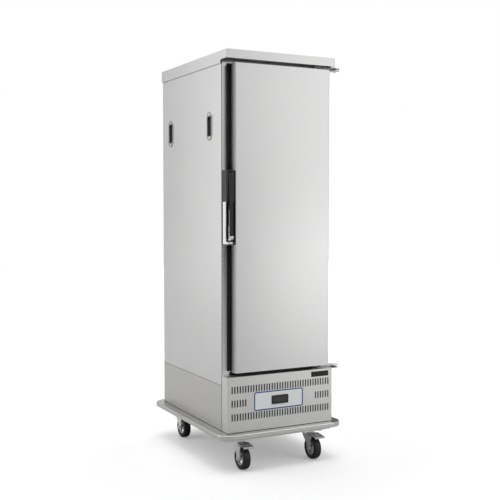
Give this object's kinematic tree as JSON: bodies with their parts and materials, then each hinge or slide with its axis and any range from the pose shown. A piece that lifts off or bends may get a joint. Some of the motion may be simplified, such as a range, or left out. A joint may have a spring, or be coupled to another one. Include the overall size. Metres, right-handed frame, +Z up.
{
  "type": "enclosed meal tray cart",
  "caption": "Tall insulated stainless cart for meal trays with one hinged front door, a slotted cooling unit cover at its foot and a rounded bumper platform on swivel castors.",
  "frame": {"origin": "on the floor under the centre of the platform's outline", "axes": "+Z up, -Y towards the front where the door is, +X towards the hinge side"},
  "size_m": [0.598, 0.791, 1.766],
  "materials": {
    "panel_steel": "fine satin brushed sheet",
    "lower_steel": "satin sheet",
    "platform_steel": "satin with eased edges",
    "polished_steel": "polished sheet",
    "zinc": "bright zinc plate",
    "hub_zinc": "cast, satin",
    "chrome": "mirror",
    "dark_plastic": "smooth matte",
    "black_plastic": "semi gloss",
    "light_plastic": "printed film, bare",
    "foam": "polyurethane foam",
    "copper_aluminium": "bare fins and tubes",
    "copper": "bare copper tube",
    "dark_metal": "black paint",
    "black_paint": "gloss black enamel",
    "gasket_rubber": "soft magnetic gasket",
    "tyre": "smooth rubber"
  },
  "bodies": {
    "cabinet": {"base_frame": "platform_steel", "castor_plates": "zinc", "castor_fasteners": "zinc", "lower_side_panels": "lower_steel", "left_panel": "panel_steel", "right_panel": "panel_steel", "rear_panel": "panel_steel", "power_inlet": "black_plastic", "face_frame": "polished_steel", "insulation": "foam", "inner_liner": "panel_steel", "top_cap": "panel_steel", "vent_cover": "panel_steel", "control_plate": "light_plastic", "controller": "black_plastic", "badge_plate": "black_plastic", "left_grips": "panel_steel", "right_grips": "panel_steel", "left_tray_rack": "panel_steel", "right_tray_rack": "panel_steel", "air_duct": "panel_steel", "evaporator": "copper_aluminium", "fan_motors": "dark_metal", "compressor": "black_paint", "condenser": "dark_metal", "refrigerant_pipes": "copper", "latch_keeper": "panel_steel", "hinge_brackets": "polished_steel", "hinge_pins": "zinc", "body_screws": "zinc"},
    "door": {"door_skin": "panel_steel", "door_edge_profile": "dark_plastic", "door_core": "foam", "door_liner": "panel_steel", "door_gasket": "gasket_rubber", "door_hinge_plates": "polished_steel", "latch_housing": "dark_plastic", "latch_bezel": "chrome"},
    "lever": {"latch_lever": "dark_plastic", "lever_tip": "chrome"},
    "bolt": {"latch_bolt": "zinc"},
    "evaporator_fan": {"evaporator_fan": "black_plastic"},
    "condenser_fan": {"condenser_fan": "black_plastic"},
    "key_left": {"key_left": "black_plastic"},
    "key_middle": {"key_middle": "black_plastic"},
    "key_right": {"key_right": "black_plastic"},
    "front_left_fork": {"front_left_fork": "zinc"},
    "front_left_wheel": {"front_left_hub": "hub_zinc", "front_left_tyre": "tyre"},
    "front_right_fork": {"front_right_fork": "zinc"},
    "front_right_wheel": {"front_right_hub": "hub_zinc", "front_right_tyre": "tyre"},
    "rear_left_fork": {"rear_left_fork": "zinc"},
    "rear_left_wheel": {"rear_left_hub": "hub_zinc", "rear_left_tyre": "tyre"},
    "rear_right_fork": {"rear_right_fork": "zinc"},
    "rear_right_wheel": {"rear_right_hub": "hub_zinc", "rear_right_tyre": "tyre"},
    "front_left_pedal": {"front_left_pedal": "polished_steel"},
    "front_right_pedal": {"front_right_pedal": "polished_steel"}
  },
  "joints": [
    {"name": "door_hinge", "type": "hinge", "parent": "cabinet", "child": "door", "pos_m": [0.269, -0.3515, 0.418], "axis": [0, 0, 1], "range_deg": [0, 255]},
    {"name": "lever_pull", "type": "hinge", "parent": "door", "child": "lever", "pos_m": [-0.238, -0.3425, 1.24], "axis": [-1, 0, 0], "range_deg": [0, 28], "stiffness_Nm_per_rad": 1.5, "springref_deg": -11.46},
    {"name": "bolt_slide", "type": "slide", "parent": "door", "child": "bolt", "axis": [0, 0, -1], "range_m": [0, 0.0118]},
    {"name": "evaporator_fan_spin", "type": "hinge", "parent": "cabinet", "child": "evaporator_fan", "pos_m": [0, 0.282, 1.513], "axis": [0, 1, 0], "continuous": true},
    {"name": "condenser_fan_spin", "type": "hinge", "parent": "cabinet", "child": "condenser_fan", "pos_m": [0, -0.258, 0.264], "axis": [0, 1, 0], "continuous": true},
    {"name": "key_left_press", "type": "slide", "parent": "cabinet", "child": "key_left", "axis": [0, 1, 0], "range_m": [0, 0.0006], "stiffness_N_per_m": 1500, "springref_m": -0.0004},
    {"name": "key_middle_press", "type": "slide", "parent": "cabinet", "child": "key_middle", "axis": [0, 1, 0], "range_m": [0, 0.0006], "stiffness_N_per_m": 1500, "springref_m": -0.0004},
    {"name": "key_right_press", "type": "slide", "parent": "cabinet", "child": "key_right", "axis": [0, 1, 0], "range_m": [0, 0.0006], "stiffness_N_per_m": 1500, "springref_m": -0.0004},
    {"name": "front_left_swivel", "type": "hinge", "parent": "cabinet", "child": "front_left_fork", "pos_m": [-0.175, -0.3, 0.12], "axis": [0, 0, 1], "continuous": true},
    {"name": "front_left_roll", "type": "hinge", "parent": "front_left_fork", "child": "front_left_wheel", "pos_m": [-0.175, -0.333, 0.05], "axis": [1, 0, 0], "continuous": true},
    {"name": "front_right_swivel", "type": "hinge", "parent": "cabinet", "child": "front_right_fork", "pos_m": [0.175, -0.3, 0.12], "axis": [0, 0, 1], "continuous": true},
    {"name": "front_right_roll", "type": "hinge", "parent": "front_right_fork", "child": "front_right_wheel", "pos_m": [0.175, -0.333, 0.05], "axis": [1, 0, 0], "continuous": true},
    {"name": "rear_left_swivel", "type": "hinge", "parent": "cabinet", "child": "rear_left_fork", "pos_m": [-0.19, 0.3, 0.12], "axis": [0, 0, 1], "continuous": true},
    {"name": "rear_left_roll", "type": "hinge", "parent": "rear_left_fork", "child": "rear_left_wheel", "pos_m": [-0.19, 0.267, 0.05], "axis": [1, 0, 0], "continuous": true},
    {"name": "rear_right_swivel", "type": "hinge", "parent": "cabinet", "child": "rear_right_fork", "pos_m": [0.19, 0.3, 0.12], "axis": [0, 0, 1], "continuous": true},
    {"name": "rear_right_roll", "type": "hinge", "parent": "rear_right_fork", "child": "rear_right_wheel", "pos_m": [0.19, 0.267, 0.05], "axis": [1, 0, 0], "continuous": true},
    {"name": "front_left_brake", "type": "hinge", "parent": "front_left_fork", "child": "front_left_pedal", "pos_m": [-0.175, -0.342, 0.108], "axis": [1, 0, 0], "range_deg": [0, 7.5]},
    {"name": "front_right_brake", "type": "hinge", "parent": "front_right_fork", "child": "front_right_pedal", "pos_m": [0.175, -0.342, 0.108], "axis": [1, 0, 0], "range_deg": [0, 7.5]}
  ],
  "couplings": [
    {"joint": "bolt_slide", "follows": "lever_pull", "m_per_rad": 0.0236}
  ]
}
